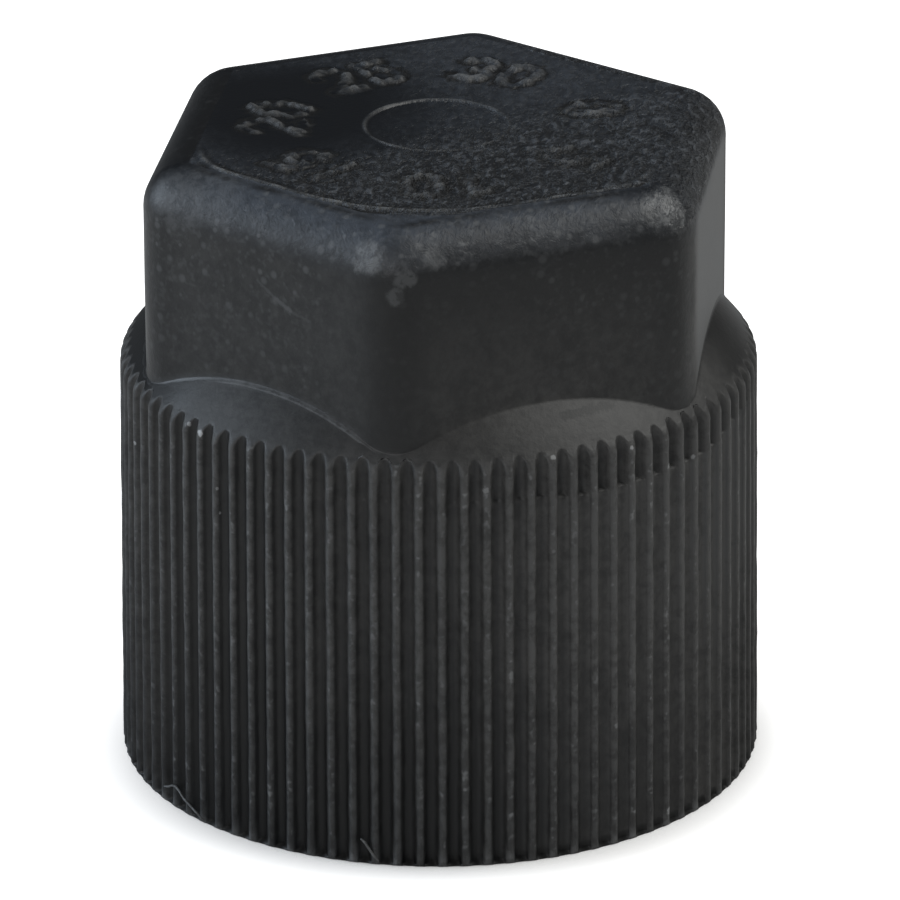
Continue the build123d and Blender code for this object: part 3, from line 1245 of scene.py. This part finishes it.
def build_floor(settings):
    """A wide pale floor."""
    mesh = bpy.data.meshes.new("floor")
    reach = FLOOR_REACH
    corners = [(-reach, -reach, 0), (reach, -reach, 0), (reach, reach, 0), (-reach, reach, 0)]
    mesh.from_pydata(corners, [], [(0, 1, 2, 3)])
    floor = bpy.data.objects.new("floor", mesh)
    bpy.context.scene.collection.objects.link(floor)
    material = bpy.data.materials.new("pale_floor")
    material.use_nodes = True
    tree = material.node_tree
    shader = tree.nodes["Principled BSDF"]
    shader.inputs["Base Color"].default_value = rgba(settings.floor_colour)
    shader.inputs["Roughness"].default_value = 0.9
    shader.inputs["Specular IOR Level"].default_value = 0.0
    # The camera alone sees a glow that brings the floor up to white, apart from the shadow. The
    # cap has no metal or glass, so nothing has to mirror the glow
    seen = Value(tree.nodes.new("ShaderNodeLightPath").outputs["Is Camera Ray"])
    shader.inputs["Emission Color"].default_value = rgba(WHITE)
    # Close to the cap the glow fades, most of all in front, as under soft light from behind
    leaning_back = add_node(tree, "ShaderNodeCombineXYZ", {0: -0.3, 1: 0.7, 2: 0.65})
    values = {"Distance": SHADOW_REACH, "Normal": Value(leaning_back.outputs[0])}
    open_air = add_node(tree, "ShaderNodeAmbientOcclusion", values, samples=3)
    glow = seen * settings.floor_glow * Value(open_air.outputs["AO"]).maths("POWER", 1.3)
    tree.links.new(glow.socket, shader.inputs["Emission Strength"])
    mesh.materials.append(material)


def direction(azimuth, elevation):
    """Unit vector away from the cap. Azimuth 0 is towards -Y and turns right."""
    level = cos(elevation)
    return Vector((sin(azimuth) * level, -cos(azimuth) * level, sin(elevation)))


def build_soft_light(name, aim, azimuth, elevation, power, tint):
    """A square soft light that faces the cap."""
    away = direction(radians(azimuth), radians(elevation))
    data = bpy.data.lights.new(name, "AREA")
    data.shape = "SQUARE"
    data.size = LIGHT_SIZE
    data.energy = power
    data.color = tint
    light = bpy.data.objects.new(name, data)
    light.location = aim + LIGHT_DISTANCE * away
    light.rotation_euler = (-away).to_track_quat("-Z", "Y").to_euler()
    bpy.context.scene.collection.objects.link(light)


def build_world(settings):
    """Even grey light from all round."""
    world = bpy.data.worlds.new("soft_room")
    world.use_nodes = True
    background = world.node_tree.nodes["Background"]
    background.inputs["Color"].default_value = rgba(WHITE)
    background.inputs["Strength"].default_value = settings.world_level
    bpy.context.scene.world = world


def build_camera(settings, aim):
    """The camera, looking down on the cap from the front."""
    data = bpy.data.cameras.new("camera")
    data.lens = settings.lens
    data.sensor_width = 36.0
    data.shift_x = settings.shift_x
    data.shift_y = settings.shift_y
    data.clip_start = 0.01
    camera = bpy.data.objects.new("camera", data)
    away = direction(settings.azimuth, settings.elevation)
    facing = (-away).to_track_quat("-Z", "Y").to_matrix()
    turn = facing @ Matrix.Rotation(settings.roll, 3, "Z")
    camera.matrix_world = Matrix.Translation(aim + away * settings.distance) @ turn.to_4x4()
    bpy.context.scene.collection.objects.link(camera)
    bpy.context.scene.camera = camera


# ---------------------------------------------------------------- operators


class CAP_OT_build_cap(bpy.types.Operator):
    """Builds the moulded cap with its ribs, shoulder, hexagon head and threaded bore"""

    bl_idname = "cap.build_cap"
    bl_label = "Build the cap"

    def execute(self, context):
        scene = context.scene
        form = CapForm(scene.cap_skirt, scene.cap_head, scene.cap_bore)
        skin = Skin()
        add_hollow(skin, form)
        add_thread(skin, form)
        add_underside(skin, form)
        rib_angles, rib_radii = add_ribs(skin, form)
        angles, foot, bottom = add_shoulder(skin, form, rib_angles, rib_radii)
        add_flats(skin, form, angles, foot, bottom)
        add_top(skin, form)
        add_strands(skin, form)
        cap = skin.make_object("moulded_cap")
        cap.data.materials.append(build_plastic(scene.cap_finish))
        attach(cap, "root")
        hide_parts(CAP_NODE)
        return {"FINISHED"}


class CAP_OT_build_stage(bpy.types.Operator):
    """Builds the pale floor, the soft lights and the camera"""

    bl_idname = "cap.build_stage"
    bl_label = "Build the stage"

    def execute(self, context):
        settings = context.scene.cap_stage
        build_floor(settings)
        build_world(settings)
        aim = Vector((0.0, 0.0, settings.aim_height))
        for name, values in SOFT_LIGHTS.items():
            build_soft_light(name, aim, *values)
        build_camera(settings, aim)
        context.scene.view_settings.view_transform = "Standard"
        return {"FINISHED"}


class CAP_PT_panel(bpy.types.Panel):
    """The cap's settings and the steps that build it"""

    bl_label = "Protection cap"
    bl_idname = "CAP_PT_panel"
    bl_space_type = "VIEW_3D"
    bl_region_type = "UI"
    bl_category = "Protection cap"

    def draw(self, context):
        layout = self.layout
        for name, group in SETTINGS.items():
            box = layout.box()
            box.label(text=group.__doc__)
            for prop in group.__annotations__:
                box.prop(getattr(context.scene, name), prop)
        layout.operator(CAP_OT_build_cap.bl_idname)
        layout.operator(CAP_OT_build_stage.bl_idname)


CLASSES = (*SETTINGS.values(), CAP_OT_build_cap, CAP_OT_build_stage, CAP_PT_panel)


def register():
    for cls in CLASSES:
        bpy.utils.register_class(cls)
    for name, group in SETTINGS.items():
        setattr(bpy.types.Scene, name, PointerProperty(type=group))


def unregister():
    for name in SETTINGS:
        delattr(bpy.types.Scene, name)
    for cls in reversed(CLASSES):
        bpy.utils.unregister_class(cls)


def main():
    register()
    bpy.ops.cap.build_cap()
    bpy.ops.cap.build_stage()


if __name__ == "__main__":
    main()
